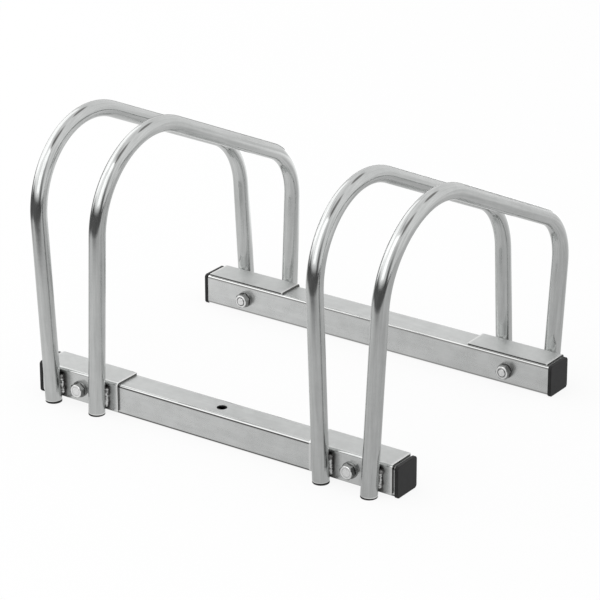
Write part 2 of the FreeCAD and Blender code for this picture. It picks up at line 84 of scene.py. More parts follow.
print("hoops stand at x =", [round(x, 1) for _, _, x, _ in leg_places()])

# %% [markdown]
# ## The camera
# The picture was taken from well back with a long lens, so that the rails look almost parallel. We put
# the camera where a fit to the stand's corners puts it, aim it along the fitted direction, and give it
# the small roll that the fit found.

# %% Camera
CAMERA_PLACE = Vector((1570.68, -2248.22, 1246.91)) * MM
YAW = math.radians(35.015)
PITCH = math.radians(22.826)
ROLL = math.radians(-0.14)
FOCAL_PIXELS = 3136.1
PICTURE = 600
SENSOR = 36.0                            # millimetres
SIGHT = 50.0                             # metres, well past the stand

aim = Vector((-math.sin(YAW) * math.cos(PITCH), math.cos(YAW) * math.cos(PITCH), -math.sin(PITCH)))
camera = bpy.data.objects.new("camera", bpy.data.cameras.new("camera"))
camera.location = CAMERA_PLACE
camera.rotation_mode = "QUATERNION"
camera.rotation_quaternion = aim.to_track_quat("-Z", "Y") @ Matrix.Rotation(ROLL, 3, "Z").to_quaternion()
camera.data.sensor_width = SENSOR
camera.data.lens = FOCAL_PIXELS / PICTURE * SENSOR
camera.data.clip_end = SIGHT
bpy.context.scene.collection.objects.link(camera)
bpy.context.scene.camera = camera
print("lens: %.1f mm" % camera.data.lens)

# %% [markdown]
# ## Writing shaders as sums
# A finish is a small calculation: so much cloud, so much scratch, a little edge wear. Blender draws
# such a calculation as a net of nodes, which is slow to write down. The class below wraps a socket, so
# that `1 - wear * 0.3` makes the Math nodes for us. Everything else goes through one method, `node`.

# %% A number that changes over a surface
class Field:
    """A socket that can be added to, multiplied and compared."""

    def __init__(self, finish, socket):
        self.finish = finish
        self.socket = socket

    def sum(self, kind, *terms):
        return self.finish.node("ShaderNodeMath", {"operation": kind}, dict(enumerate(terms)))

    def __add__(self, other):
        return self.sum("ADD", self, other)

    def __radd__(self, other):
        return self.sum("ADD", other, self)

    def __sub__(self, other):
        return self.sum("SUBTRACT", self, other)

    def __rsub__(self, other):
        return self.sum("SUBTRACT", other, self)

    def __mul__(self, other):
        return self.sum("MULTIPLY", self, other)

    def __rmul__(self, other):
        return self.sum("MULTIPLY", other, self)

    def __neg__(self):
        return self * -1.0

    def __abs__(self):
        return self.sum("ABSOLUTE", self)

    def most(self, other):
        return self.sum("MAXIMUM", self, other)

    def within(self, low, high):
        """0 where this is low, 1 where it is high, and a soft step between."""
        return self.finish.node("ShaderNodeMapRange", {"interpolation_type": "SMOOTHSTEP", "clamp": True},
                                {"Value": self, "From Min": low, "From Max": high})

    def near(self, place, reach):
        """1 where this is at a place, and 0 from reach away."""
        return 1.0 - abs(self - place).within(0.0, reach)


# %% A net of nodes
class Net:
    """The nodes of a material, or of the world."""

    def __init__(self, owner):
        owner.use_nodes = True
        self.owner = owner
        self.tree = owner.node_tree
        self.tree.nodes.clear()

    def node(self, kind, settings=None, sockets=None, output=0):
        made = self.tree.nodes.new(kind)
        for name, value in (settings or {}).items():
            setattr(made, name, value)
        for name, value in (sockets or {}).items():
            if isinstance(value, Field):
                self.tree.links.new(value.socket, made.inputs[name])
            else:
                made.inputs[name].default_value = value
        return Field(self, made.outputs[output] if len(made.outputs) else None)

    def place(self, stretch=(1, 1, 1), shift=(0, 0, 0)):
        """Places on the piece, in millimetres, stretched along the axes."""
        here = self.node("ShaderNodeTexCoord", output="Object")
        scale = tuple(s / MM for s in stretch)
        return self.node("ShaderNodeMapping", None, {"Vector": here, "Scale": scale, "Location": shift})

    def stretched(self, where, scale):
        return self.node("ShaderNodeMapping", None, {"Vector": where, "Scale": scale})

    def cloud(self, where, size, detail=3.0, rough=0.5):
        """Noise from 0 to 1 in patches of this size in millimetres."""
        return self.node("ShaderNodeTexNoise", {"noise_dimensions": "3D"},
                         {"Vector": where, "Scale": 1 / size, "Detail": detail, "Roughness": rough})

    def axis(self, where, name):
        return self.node("ShaderNodeSeparateXYZ", None, {"Vector": where}, output="XYZ".index(name))

    def tint(self, share, one, other):
        """A colour that goes from one to the other as share goes from 0 to 1."""
        ends = {6: one, 7: other}
        shades = {slot: end if isinstance(end, Field) else (*end, 1) for slot, end in ends.items()}
        return self.node("ShaderNodeMix", {"data_type": "RGBA"}, {0: share, **shades}, output=2)

    def bump(self, height, depth):
        """A normal for a surface that rises by depth, in millimetres, where height is 1."""
        sockets = {"Height": height, "Strength": 1.0, "Distance": depth * MM}
        return self.node("ShaderNodeBump", None, sockets)

    def light(self, strength):
        return self.node("ShaderNodeEmission", None, {"Color": (1, 1, 1, 1), "Strength": strength})

    def blend(self, share, one, other):
        return self.node("ShaderNodeMixShader", None, {0: share, 1: one, 2: other})

    def close(self, shader, kind="ShaderNodeOutputMaterial"):
        self.node(kind, None, {"Surface": shader})
        print(self.owner.name, "has", len(self.tree.nodes), "nodes")
        return self.owner


RELIEF = 0.05                            # millimetres, the height of a metal finish's bumps
PLASTIC_RELIEF = 0.06                    # and of a plastic one's


def finish(name):
    return Net(bpy.data.materials.new(name))


def metal(net, colour, rough, normal):
    """Close a metal finish."""
    return net.close(net.node("ShaderNodeBsdfPrincipled", None, {
        "Base Color": colour, "Metallic": 1.0, "Roughness": rough, "Normal": normal}))


# %% [markdown]
# ## Zinc on round tube
# The hoops are drawn tube, bent and then plated. Drawing leaves fine lines along the tube, and on a
# bend they stand out more, in metal that the bender has polished. Lines that follow a bent tube need to
# know how far along it they are, so each hoop carries that as an attribute, `run`: the cosine and sine
# of the angle round the tube and the distance along it. A noise that is read at `run` and pulled out
# along the tube gives the lines without a seam. A second attribute, `bend`, is 1 within the bends.
#
# The other marks are placed where the work was done, or where light falls. Beside the welds the plating
# is dull and dark, which is a patch low down, on the side that faces the bracket. The very end of a leg
# has a painted highlight, a bright rim above the plug. Two dark streaks on the outside of each front
# bend are painted dark reflections, which `run` places too, by their distance along the tube and their
# side of it.

# %% Zinc on the hoops
ZINC_DARK = (0.40, 0.41, 0.405)
ZINC_LIGHT = (0.74, 0.75, 0.745)
FLAT_DARK = (0.52, 0.53, 0.525)          # strip takes a brighter zinc than drawn tube
FLAT_LIGHT = (0.88, 0.89, 0.885)
PAINTED_HIGHLIGHT = (0.95, 0.95, 0.94)           # a painted highlight on leg rims, rail corners and bracket edges
SCALE_AND_PAINTED_DARK = (0.17, 0.168, 0.165)        # what welding leaves beside a bead; also painted crevice shade and painted dark reflections
NEAR_BLACK = (0.045, 0.044, 0.043)          # nearly black: lower part of a bracket's cut faces, a painted dark line on rails, a ring at bolt tips
STAINED = (0.26, 0.258, 0.255)           # a bracket near a weld
SCALE_TOP = 26.0                         # welding has dulled a leg up to here
DARK_REFLECTIONS = ((2.6, 0.22), (2.96, 0.17))  # painted dark reflections: decimetres along the tube, and a streak's reach
DARK_REFLECTION_SIDE = 0.45                          # cosine of their angle round the tube


def zinc_tube():
    f = finish("zinc_tube")
    run = f.node("ShaderNodeAttribute", {"attribute_name": "run"}, output="Vector")
    bend = f.node("ShaderNodeAttribute", {"attribute_name": "bend"}, output="Fac")
    fine = f.cloud(f.stretched(run, (8.0, 8.0, 4.0)), 1.0, 4.0, 0.6)
    wide = f.cloud(f.stretched(run, (2.6, 2.6, 1.6)), 1.0, 2.0)
    here = f.place()
    up = f.axis(here, "Z")
    blotch = f.cloud(here, 11.0, 3.0, 0.6)
    grain = f.cloud(here, 0.5, 2.0)
    pits = f.cloud(here, 2.2, 3.0, 0.7).within(0.66, 0.8)
    low = 1.0 - up.within(SCALE_TOP, SCALE_TOP + 5.0)
    seat = 1.0 - (abs(f.axis(here, "Y")) + (blotch - 0.5) * 4.0).within(BRACKET_Y + 1.5, BRACKET_Y + 4.5)
    # A painted highlight: a bright rim at the very end of each leg.
    painted_rim_highlight = 1.0 - up.within(FOOT + 0.8, FOOT + 1.4)
    first, second = [f.axis(run, "Z").near(along, reach) for along, reach in DARK_REFLECTIONS]
    outward = 1.0 - f.axis(run, "Y").within(-0.8, -0.5)
    reflection_place = first.most(second) * f.axis(run, "X").near(DARK_REFLECTION_SIDE, 0.19) * outward
    # Painted dark reflections: two dark streaks on the outside of each front bend.
    painted_dark_reflection = (reflection_place + (fine - 0.5) * 1.1).within(0.2, 0.7) * reflection_place.within(0.0, 0.25)
    drawn = (fine - 0.5) * (0.14 + bend * 0.3)
    shade = 0.90 + drawn + (wide - 0.5) * 0.26 + (blotch - 0.5) * 0.12 - pits * 0.10
    plated = f.tint(shade.within(0.6, 1.2), ZINC_DARK, ZINC_LIGHT)
    scaled = f.tint(low * seat * 0.8, plated, SCALE_AND_PAINTED_DARK)
    with_dark_reflection = f.tint(painted_dark_reflection * 0.95, scaled, SCALE_AND_PAINTED_DARK)
    colour = f.tint(painted_rim_highlight * 0.8, with_dark_reflection, PAINTED_HIGHLIGHT)
    rough = 0.17 + (fine - 0.5) * 0.08 + (blotch - 0.5) * 0.08 - bend * 0.07
    height = fine * (0.5 + bend * 0.7) + wide * 1.3 + grain * 0.12 + blotch * 0.9
    return metal(f, colour, rough, f.bump(height, RELIEF))


ZINC_TUBE = zinc_tube()

# %% [markdown]
# ## Zinc on flat steel
# The rails are rolled strip, so their lines run along X, and the plating shows faint clouds. Rolling
# leaves the flats satin and the corners glossier: a mask on the two distances from a rail's middle
# finds the corners, lowers the roughness there and paints a highlight on them. Low on each rounded
# edge a fine dark line is painted, a painted reflection of the dark room. The top is a little duller
# than the sides, and painted a little darker, as painted shade.

# %% Zinc on the rails
def zinc_rail():
    f = finish("zinc_rail")
    here = f.place()
    lines = f.cloud(f.place((0.02, 1, 1)), 0.9, 4.0, 0.6)
    broad = f.cloud(f.place((0.12, 1, 1)), 7.0, 3.0)
    blotch = f.cloud(here, 16.0, 4.0, 0.6)
    grain = f.cloud(here, 0.6, 2.0)
    scratch = f.cloud(f.place((0.05, 0.6, 3.0), (3, 1, 7)), 1.4, 2.0).within(0.7, 0.76)
    out = abs(f.axis(here, "Y"))
    from_middle = abs(out - RAIL_Y)
    up = f.axis(here, "Z") - RAIL_Z
    straight = RAIL_HALF - RAIL_CORNER
    corner = from_middle.within(straight - 0.8, straight) * abs(up).within(straight - 0.8, straight)
    standing = from_middle.within(RAIL_HALF - 0.6, RAIL_HALF - 0.3)
    outside = out.within(RAIL_Y + RAIL_HALF / 2, RAIL_Y + RAIL_HALF - 0.5) * 0.35 + 0.65
    # A painted dark reflection: a fine dark line low on each rounded edge.
    painted_dark_line = abs(up).near(RAIL_HALF - 1.9, 1.5) * standing * outside
    on_top = up.within(RAIL_HALF - 0.9, RAIL_HALF - 0.3)
    # The top is painted a little darker: painted shade.
    shade = 0.88 + (lines - 0.5) * 0.10 + (broad - 0.5) * 0.16 + (blotch - 0.5) * 0.24 - on_top * 0.1
    strip = f.tint(shade.within(0.6, 1.2), FLAT_DARK, FLAT_LIGHT)
    # A painted highlight along the rounded corners.
    cornered = f.tint(corner * (1.0 - on_top) * 0.5, strip, PAINTED_HIGHLIGHT)
    colour = f.tint(painted_dark_line, cornered, NEAR_BLACK)
    satin = 0.28 + (blotch - 0.5) * 0.14 + (grain - 0.5) * 0.08
    rough = satin - scratch * 0.06 - corner * 0.19 + on_top * (1.0 - corner) * 0.12
    height = (lines * 0.5 + grain * 0.3 + blotch * 0.8 - scratch * 0.5) * (1.0 - corner * 0.8)
    return metal(f, colour, rough, f.bump(height, RELIEF))


ZINC_RAIL = zinc_rail()

# %% [markdown]
# The brackets are the same steel, but welding has left them darker and duller beside the legs. Each
# leg's distance along X is known, so the stain is a soft band about each leg. Right beside a bead a
# narrow, ragged band is darker still: burnt scale, and painted shade in the corner by the bead. The
# first half of each cut edge has a painted highlight, and the rest of the cut face is painted nearly
# black. The ends have a painted highlight that fades in towards the edge, and the tops are duller and
# painted a little darker, as painted shade, as the rails' are.

# %% Zinc on the brackets
def zinc_bracket():
    f = finish("zinc_bracket")
    here = f.place()
    out = abs(f.axis(here, "Y"))
    up = f.axis(here, "Z")
    from_pair = abs(abs(f.axis(here, "X")) - PAIR_X)
    from_leg = abs(from_pair - HALF_PITCH)
    wobble = f.cloud(here, 5.0, 4.0, 0.6)
    below_bend = 1.0 - up.within(BRACKET_TOP - 5.8, BRACKET_TOP - 3.3)
    side_flange = out.within(BRACKET_Y - SHEET, BRACKET_Y - 0.4) * below_bend
    stain = (1.0 - (from_leg + wobble * 6.0).within(11.0, 21.0)) * side_flange
    # Burnt scale, and painted shade in the corner beside each bead.
    scale = (1.0 - (from_leg + (wobble - 0.5) * 3.5).within(9.0, 10.8)) * side_flange
    bend_y = BRACKET_Y - BRACKET_BEND
    bend_z = BRACKET_TOP - BRACKET_BEND
    bend = out.within(bend_y - 0.4, bend_y + 0.4) * up.within(bend_z - 0.4, bend_z + 0.4)
    back = 1.0 - out.within(BRACKET_BACK + 0.05, BRACKET_BACK + 0.3)
    dark_cut_back = back * up.within(BRACKET_TOP - 1.5, BRACKET_TOP - 1.3)
    dark_cut_foot = 1.0 - up.within(BRACKET_FOOT + 0.05, BRACKET_FOOT + 0.3)
    # The lower part of each cut face is painted nearly black.
    dark_cut = from_pair.within(BRACKET_HALF - 0.12, BRACKET_HALF - 0.02).most(dark_cut_back).most(dark_cut_foot)
    # A painted highlight along the first half of each cut edge.
    back_edge_highlight = back * (1.0 - up.within(BRACKET_TOP - 1.8, BRACKET_TOP - 1.6))
    edge_highlight = back_edge_highlight.most(from_pair.within(BRACKET_HALF - 0.6, BRACKET_HALF - 0.4))
    # A painted highlight that fades in towards each end of the bracket.
    wear_and_painted_highlight = from_pair.within(BRACKET_HALF - 3.2, BRACKET_HALF - 0.6)
    lines = f.cloud(f.place((0.03, 1, 1)), 0.8, 4.0, 0.6)
    blotch = f.cloud(here, 9.0, 4.0, 0.6)
    grain = f.cloud(here, 0.5, 2.0)
    on_top = up.within(BRACKET_TOP - 0.5, BRACKET_TOP - 0.1)
    # The top is painted a little darker: painted shade.
    shade = 0.86 + (lines - 0.5) * 0.10 + (blotch - 0.5) * 0.22 - on_top * 0.07
    plated = f.tint(shade.within(0.6, 1.2), FLAT_DARK, FLAT_LIGHT)
    stained = f.tint(stain * 0.6, plated, STAINED)
    scaled = f.tint(scale * 0.75, stained, SCALE_AND_PAINTED_DARK)
    edged = f.tint((edge_highlight * 0.8).most(wear_and_painted_highlight * 0.5), scaled, PAINTED_HIGHLIGHT)
    colour = f.tint(dark_cut * 0.9, edged, NEAR_BLACK)
    satin = 0.24 + (blotch - 0.5) * 0.12 + (grain - 0.5) * 0.08
    rough = satin + stain * 0.08 - bend * 0.14 + dark_cut * 0.2 + on_top * 0.26
    height = lines * 0.4 + grain * 0.35 + blotch * 0.8
    return metal(f, colour, rough, f.bump(height, RELIEF))


ZINC_BRACKET = zinc_bracket()

# %% [markdown]
# ## Weld metal, fasteners and plastic
# Weld metal freezes in ripples. The crown of a bead and the backs of its ripples get a painted
# highlight, and the corners beside them painted shade. A bead carries the attribute `crest`, so the
# finish can tell one from the other. Bolts and nuts are barrel plated, bright on the face and a little
# duller round the sides, with small knocks. Their sides are painted dark, as painted shade, and a dark
# ring is painted where a bolt's tip meets its nut, as painted shade in the gap; fainter, in the dish of
# a head, it is a forged mark. The squared distance from the bolt's middle line tells face, ring and
# sides apart. The caps are moulded polyethylene: black, with a fine skin and a soft shine.

# %% Welds, fasteners, plastic
# Painted shade and painted highlight of weld metal.
WELD_DARK = (0.19, 0.188, 0.185)
WELD_LIGHT = (0.70, 0.705, 0.70)
BARREL_DARK = (0.58, 0.585, 0.59)
BARREL_LIGHT = (0.95, 0.955, 0.95)
# Painted shade on the sides of heads and nuts.
BARREL_SIDE = (0.14, 0.142, 0.14)
MOULDED = (0.010, 0.010, 0.0105)
MOULDED_WORN = (0.018, 0.018, 0.0185)
FACE_END = 38.0                          # squared distance from a bolt's middle line to a face's rim,
SIDE_START = 41.5                        # to its sides,
RING = 18.5                              # and to the ring round a bolt's tip


def weld_metal():
    f = finish("weld_metal")
    here = f.place()
    crest = f.node("ShaderNodeAttribute", {"attribute_name": "crest"}, output="Fac")
    blotch = f.cloud(here, 2.0, 4.0, 0.65)
    grain = f.cloud(here, 0.35, 2.0)
    # Painted highlight on the crown, painted shade in the corners beside it.
    bright = (crest + (blotch - 0.5) * 0.9).within(0.35, 0.95)
    colour = f.tint(bright, WELD_DARK, WELD_LIGHT)
    rough = 0.22 + (grain - 0.5) * 0.16 + (1.0 - bright) * 0.2
    return metal(f, colour, rough, f.bump(grain + blotch, RELIEF))


def zinc_fastener():
    f = finish("zinc_fastener")
    here = f.place()
    blotch = f.cloud(here, 3.0, 3.0, 0.6)
    grain = f.cloud(here, 0.4, 2.0)
    knocks = f.cloud(here, 1.1, 1.0).within(0.68, 0.76)
    across = abs(f.axis(here, "X")) - PAIR_X
    above = f.axis(here, "Z") - RAIL_Z
    squared = across * across + above * above
    sides = squared.within(FACE_END, SIDE_START)
    head = abs(f.axis(here, "Y")).within(RAIL_Y - 2.5, RAIL_Y + 7.5)
    # Painted shade in the gap round a bolt's tip at its nut; fainter on heads, a forged mark.
    ring = squared.near(RING, 6.0) * (1.0 - head * 0.65)
    shade = 1.02 + (blotch - 0.5) * 0.6 - knocks * 0.25
    plated = f.tint(shade.within(0.6, 1.2), BARREL_DARK, BARREL_LIGHT)
    ringed = f.tint(ring * 0.8, plated, NEAR_BLACK)
    # Painted shade: the hexagon's sides are painted dark.
    colour = f.tint(sides * 0.85, ringed, BARREL_SIDE)
    rough = 0.16 + (grain - 0.5) * 0.12 + (blotch - 0.5) * 0.1 + sides * 0.05
    return metal(f, colour, rough, f.bump(grain * 0.4 + blotch * 2.4 - knocks * 1.6, RELIEF))


def black_plastic(name, skin, rough):
    f = finish(name)
    here = f.place()
    grain = f.cloud(here, skin, 3.0, 0.6)
    wear_and_painted_highlight = f.cloud(here, 5.0, 3.0, 0.6)
    colour = f.tint(wear_and_painted_highlight.within(0.3, 0.8), MOULDED, MOULDED_WORN)
    shine = rough + (wear_and_painted_highlight - 0.5) * 0.12 + (grain - 0.5) * 0.1
    return f.close(f.node("ShaderNodeBsdfPrincipled", None, {
        "Base Color": colour, "Roughness": shine, "Specular IOR Level": 0.3,
        "Normal": f.bump(grain + wear_and_painted_highlight * 0.5, PLASTIC_RELIEF)}))


WELD_METAL = weld_metal()
ZINC_FASTENER = zinc_fastener()
BLACK_CAP = black_plastic("black_cap", 0.45, 0.46)
BLACK_PLUG = black_plastic("black_plug", 0.8, 0.42)

# %% [markdown]
# ## From a bmesh to a piece
# Each new piece is modelled in a bmesh, in millimetres, and closed by one helper. It makes the mesh,
# leaves the object at the origin, gives it its finish, and hides the piece of the part it stands for.

# %% Close a piece
def close_piece(bm, name, stands_for, material, sharp=40.0):
    """Turn a bmesh in millimetres into a piece that rides on the stand."""
    bmesh.ops.recalc_face_normals(bm, faces=bm.faces)
    for face in bm.faces:
        face.smooth = True
    for edge in bm.edges:
        edge.smooth = len(edge.link_faces) != 2 or edge.calc_face_angle() < math.radians(sharp)
    bmesh.ops.transform(bm, matrix=Matrix.Scale(MM, 4), verts=bm.verts)
    mesh = bpy.data.meshes.new(name)
    bm.to_mesh(mesh)
    bm.free()
    piece = bpy.data.objects.new(name, mesh)
    bpy.context.scene.collection.objects.link(piece)
    mesh.materials.append(material)
    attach(piece, "root")
    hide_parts(stands_for)
    return piece


# %% [markdown]
# ## The hoops
# A pipe bender works from one end of a straight tube: feed, bend, feed, bend, feed. We do the same. A
# ring of points starts at the front foot, is extruded up the leg, turned step by step about the centre
# of each bend, and fed along the straights. The inside of the tube is made the same way from a smaller
# ring, and a bridge closes the two ends, with the sawn edge broken by a small chamfer.

# %% The route of a hoop
MID_HEIGHT = 238.8                       # of the sloping top's centre line, half-way back
SLOPE = math.radians(25.4)
BENDS = {"front": 83.5, "rear": 65.0}    # centre-line radii
ROUND = 56                               # points in a ring

rise = LEG_Y * math.tan(SLOPE)
turns = {"front": math.pi / 2 + SLOPE, "rear": math.pi / 2 - SLOPE}
setback = {end: BENDS[end] * math.tan(turns[end] / 2) for end in ENDS}
front_leg = MID_HEIGHT + rise - setback["front"]
rear_leg = MID_HEIGHT - rise - setback["rear"]
top_run = 2 * LEG_Y / math.cos(SLOPE) - setback["front"] - setback["rear"]
centres = {"front": (BENDS["front"] - LEG_Y, front_leg), "rear": (LEG_Y - BENDS["rear"], rear_leg)}

# Each stretch: a length to feed, or an angle to bend about a centre in the hoop's plane, and its steps.
ROUTE = [
    {"feed": front_leg - FOOT, "steps": 14},
    {"bend": turns["front"], "about": centres["front"], "radius": BENDS["front"], "steps": 44},
    {"feed": top_run, "steps": 10},
    {"bend": turns["rear"], "about": centres["rear"], "radius": BENDS["rear"], "steps": 26},
    {"feed": rear_leg - FOOT, "steps": 10},
]
print("front leg %.1f, top %.1f, rear leg %.1f mm" % (front_leg, top_run, rear_leg))


# %% Bend a tube
DECIMETRE = 100.0
SAWN_EDGE = 0.45                         # chamfer at a leg's end


def ring_edges(verts):
    """The edges of a fresh ring, in the same order each time."""
    return list(dict.fromkeys(edge for vert in verts for edge in vert.link_edges))


def ring_verts(edges):
    return list(dict.fromkeys(vert for edge in edges for vert in edge.verts))


def pull_ring(bm, edges):
    """Extrude a ring of edges. Returns the new ring's points and edges, still in the old place."""
    made = bmesh.ops.extrude_edge_only(bm, edges=edges)["geom"]
    verts = [part for part in made if isinstance(part, bmesh.types.BMVert)]
    fresh = set(verts)
    edges = [part for part in made if isinstance(part, bmesh.types.BMEdge)]
    return verts, [edge for edge in edges if fresh.issuperset(edge.verts)]


def tube_skin(bm, radius):
    """Draw one skin of the tube along the route, and return its two end rings.

    Each point keeps its angle round the tube and its distance along it in `run`, and in `bend` how
    far it is into a bend.
    """
    run = bm.verts.layers.float_vector["run"]
    bend = bm.verts.layers.float["bend"]
    start = Matrix.Translation((0, -LEG_Y, FOOT))
    verts = bmesh.ops.create_circle(bm, segments=ROUND, radius=radius, matrix=start)["verts"]
    for vert in verts:
        vert[run] = (vert.co.x / radius, (vert.co.y + LEG_Y) / radius, 0.0)
    first = edges = ring_edges(verts)
    heading = Vector((0, 0, 1))
    for stretch in ROUTE:
        steps = stretch["steps"]
        length = stretch["feed"] if "feed" in stretch else stretch["bend"] * stretch["radius"]
        for step in range(steps):
            verts, edges = pull_ring(bm, edges)
            if "feed" in stretch:
                bmesh.ops.translate(bm, verts=verts, vec=heading * (length / steps))
            else:
                turn = Matrix.Rotation(-stretch["bend"] / steps, 3, "X")
                bmesh.ops.rotate(bm, verts=verts, cent=(0, *stretch["about"]), matrix=turn)
                heading = turn @ heading
            from_end = min(step + 1, steps - step - 1) / steps
            depth = min(1.0, 4.0 * from_end) if "bend" in stretch else 0.0
            for vert in verts:
                vert[run] = vert[run] + Vector((0, 0, length / steps / DECIMETRE))
                vert[bend] = depth
    return first, edges


def hoop(x, lean):
    """A whole hoop: both skins, joined at the feet over a chamfered edge, and leant."""
    bm = bmesh.new()
    bm.verts.layers.float_vector.new("run")
    bm.verts.layers.float.new("bend")
    outer = tube_skin(bm, TUBE)
    inner = tube_skin(bm, BORE)
    for outer_ring, inner_ring in zip(outer, inner):
        verts, edges = pull_ring(bm, outer_ring)
        middle = sum((vert.co for vert in verts), Vector()) / len(verts)
        bmesh.ops.translate(bm, verts=ring_verts(outer_ring), vec=(0, 0, SAWN_EDGE))
        for vert in verts:
            vert.co = middle + (vert.co - middle) * (1 - SAWN_EDGE / TUBE)
        bmesh.ops.bridge_loops(bm, edges=edges + inner_ring)
    spot = Matrix.Translation((x, 0, 0)) @ Matrix.Rotation(math.radians(lean), 4, "Y")
    bmesh.ops.transform(bm, matrix=spot, verts=bm.verts)
    return bm


for hand, rank, x, lean in leg_places():
    name = "hoop_%s_%s" % (hand, rank)
    made = close_piece(hoop(x, lean), "bent_" + name, name, ZINC_TUBE)
    print(made.name, len(made.data.polygons), "faces")

# %% [markdown]
# ## Rails, brackets and caps with real edges
# These pieces already have their shape, but a part from the drawing board has edges of no width, and a
# real edge always catches a line of light. We take a copy of each piece's mesh, join its loose
# triangles, melt the flat ones together and bevel every hard edge a little. The weighted normals keep
# the flats flat beside their new edges.

# %% Soften hard edges
SAME_POINT = 0.001                       # millimetres
FLATNESS = math.radians(0.4)             # faces that differ by less are one face
HARD = math.radians(50)                  # edges that turn by more are broken
RAIL_EDGE = 0.3                          # millimetres, how wide the broken edges are
BRACKET_EDGE = 0.35
CAP_EDGE = 0.25


def softened(name, material, width):
    """A copy of a piece of the part, with its hard edges broken by this many millimetres."""
    bm = bmesh.new()
    bm.from_mesh(nodes[name].data)
    bmesh.ops.transform(bm, matrix=Matrix.Scale(1 / MM, 4), verts=bm.verts)
    bmesh.ops.remove_doubles(bm, verts=bm.verts, dist=SAME_POINT)
    bmesh.ops.dissolve_limit(bm, angle_limit=FLATNESS, verts=bm.verts, edges=bm.edges)
    hard = [edge for edge in bm.edges if len(edge.link_faces) == 2 and edge.calc_face_angle() > HARD]
    bmesh.ops.bevel(bm, geom=hard, offset=width, offset_type="OFFSET", segments=2, profile=0.5,
                    affect="EDGES", clamp_overlap=True, material=-1)
    piece = close_piece(bm, "edged_" + name, name, material, sharp=60.0)
    normals = piece.modifiers.new("weighted", "WEIGHTED_NORMAL")
    normals.keep_sharp = True
    print(piece.name, len(piece.data.polygons), "faces")
    return piece


for name in nodes:
    if name.endswith("_rail"):
        softened(name, ZINC_RAIL, RAIL_EDGE)
    elif name.startswith("bracket"):
        softened(name, ZINC_BRACKET, BRACKET_EDGE)
    elif name.startswith("rail_cap"):
        softened(name, BLACK_CAP, CAP_EDGE)

# %% [markdown]
# ## Turned and forged pieces
# Bolts, nuts, washers and foot plugs are all round a middle line. We pull a ring of points from one
# level to the next, and say for each level how far out a point lies and how high. A plain level gives
# every point the same radius. A hexagon's level gives more to the corners, and there the turned chamfer
# lowers the height, which draws the small arcs that a real bolt's head has.

# %% Skins through rings
POINTS = 48                              # in a ring; a multiple of the hexagon's six corners


def plain(radius, height):
    """A round level."""
    return lambda angle: (radius, height)


def stack_rings(bm, levels):
    """Pull a ring through levels, each a function from an angle to a radius and a height."""
    edges = None
    rings = []
    for level in levels:
        if edges is None:
            verts = bmesh.ops.create_circle(bm, segments=POINTS, radius=1.0)["verts"]
            edges = ring_edges(verts)
        else:
            verts, edges = pull_ring(bm, edges)
        for vert in verts:
            angle = math.atan2(vert.co.y, vert.co.x)
            radius, height = level(angle)
            vert.co = (radius * math.cos(angle), radius * math.sin(angle), height)
        rings.append(edges)
    return rings


def closed_ends(levels):
    """A skin whose first and last ring are covered."""
    bm = bmesh.new()
    rings = stack_rings(bm, levels)
    for edges in (rings[0], rings[-1]):
        bmesh.ops.contextual_create(bm, geom=edges)
    return bm


def closed_round(levels):
    """A skin whose last ring joins the first, as on a washer."""
    bm = bmesh.new()
    rings = stack_rings(bm, levels)
    bmesh.ops.bridge_loops(bm, edges=rings[0] + rings[-1])
    return bm


# %% [markdown]
# The bolt's thread is a true helix: as a point's angle goes round once, its place in the thread's
# profile moves on by one pitch. The bolt is threaded only where the nut is, as an 8 mm bolt of this
# length is.

# %% Bolts, nuts and washers
FLAT = 6.5                               # half the width across flats
HEAD = 5.3                               # height of a bolt's head
BOLT = 4.0                               # radius
BOLT_LENGTH = 42.3                       # under the head, so that its tip is just out of the nut
THREADED = 20.0                          # length of the thread
PITCH = 1.25
THREAD_DEPTH = 0.55
RINGS_IN_PITCH = 8
FADE = 10                                # rings over which the thread ends at the shank,
START = 6                                # and starts at the tip
DISH = 4.0                               # radius of the floor of the dish in a head
NUT = 6.5                                # height
NUT_BORE = 4.05
NUT_EDGE = 0.5                           # chamfer of a nut's bore
WASHER = 1.6                             # thickness
WASHER_BORE = 4.2
WASHER_RIM = 8.0
WASHER_EDGE = 0.3                        # width of its broken edges
TOP = FLAT - 0.6                         # radius of the flat round on a head, inside its chamfer
CHAMFER = math.tan(math.radians(30))


def corner(angle):
    """How far out a hexagon's side is at this angle. It has a corner at angle 0."""
    return FLAT / math.cos((angle % math.radians(60)) - math.radians(30))


def hexed(height, way):
    """A hexagon's level where its side meets the chamfer of a face at this height."""
    return lambda angle: (corner(angle), height - way * (corner(angle) - TOP) * CHAMFER)


def side(height, inset=0.0):
    """A level on a hexagon's side."""
    return lambda angle: (corner(angle) - inset, height)


def threaded(height, depth):
    """A level across a thread, where the groove winds round with the angle."""
    def level(angle):
        turn = (height / PITCH + angle / math.tau) % 1.0
        return BOLT - depth * (1 - abs(2 * turn - 1)), height
    return level


def bolt():
    levels = [plain(DISH, HEAD - 0.25), plain(DISH + 0.7, HEAD - 0.05), plain(DISH + 1.3, HEAD),
              plain(TOP, HEAD), hexed(HEAD, 1), side(0.25), side(0.0, 0.25),
              plain(BOLT + 0.3, 0.0), plain(BOLT, -0.3)]
    step = PITCH / RINGS_IN_PITCH
    count = int(THREADED / step)
    for i in range(count):
        height = THREADED - BOLT_LENGTH - i * step
        share = min(1.0, i / FADE, (count - i) / START)
        levels.append(threaded(height, THREAD_DEPTH * share))
    levels += [plain(BOLT - 0.1, -BOLT_LENGTH + 0.7), plain(BOLT - 0.7, -BOLT_LENGTH + 0.05),
               plain(BOLT - 0.9, -BOLT_LENGTH)]
    return closed_ends(levels)


